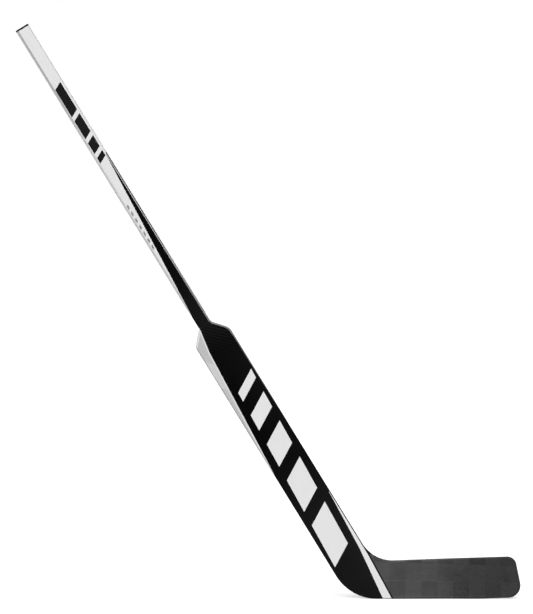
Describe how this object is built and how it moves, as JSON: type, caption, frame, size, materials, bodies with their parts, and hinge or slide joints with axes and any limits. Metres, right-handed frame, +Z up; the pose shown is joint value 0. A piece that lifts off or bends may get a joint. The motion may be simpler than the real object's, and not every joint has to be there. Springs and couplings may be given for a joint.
{
  "type": "hockey goalie stick",
  "caption": "Composite hockey goalie stick with a white and black shaft, a wide paddle, a slanted heel band and a curved carbon blade.",
  "frame": {"origin": "on the blade's flat sole just past the heel, at the stick's mid thickness, where it stands on the ice", "axes": "+X along the ice to the toe, +Y to the back of the stick, +Z up; the shaft leans to -X at 58.4 degrees to the ice"},
  "size_m": [1.099, 0.0283, 1.2526],
  "materials": {
    "plug_plastic": "satin",
    "black_carbon": "satin",
    "grey_carbon": "satin",
    "white_film": "satin",
    "black_film": "satin",
    "grey_film": "satin",
    "foam": "matte",
    "dense_foam": "matte"
  },
  "bodies": {
    "stick": {"shaft_tube": "black_carbon", "paddle_front_shell": "black_carbon", "paddle_back_shell": "black_carbon", "paddle_rail_left": "black_carbon", "paddle_rail_right": "black_carbon", "heel_rail": "black_carbon", "paddle_web": "black_carbon", "neck_spigot": "black_carbon", "blade_front_shell": "grey_carbon", "blade_back_shell": "grey_carbon", "blade_edge_rail": "grey_carbon", "blade_rib": "grey_carbon", "shaft_wrap": "white_film", "paddle_flash": "white_film", "paddle_blocks_front": "white_film", "paddle_blocks_back": "white_film", "heel_band_front": "white_film", "heel_band_back": "white_film", "shaft_wrap_blocks": "black_film", "shaft_wrap_ticks": "grey_film", "shaft_side_band": "grey_film", "shoulder_trim": "grey_film", "shaft_foam": "foam", "paddle_core_left": "foam", "paddle_core_right": "foam", "blade_core_upper": "foam", "blade_core_lower": "foam", "heel_block": "dense_foam"},
    "plug": {"butt_plug": "plug_plastic"}
  },
  "joints": [
    {"name": "plug_pull", "type": "slide", "parent": "stick", "child": "plug", "axis": [-0.524, 0, 0.8517], "range_m": [0, 0.05]}
  ]
}
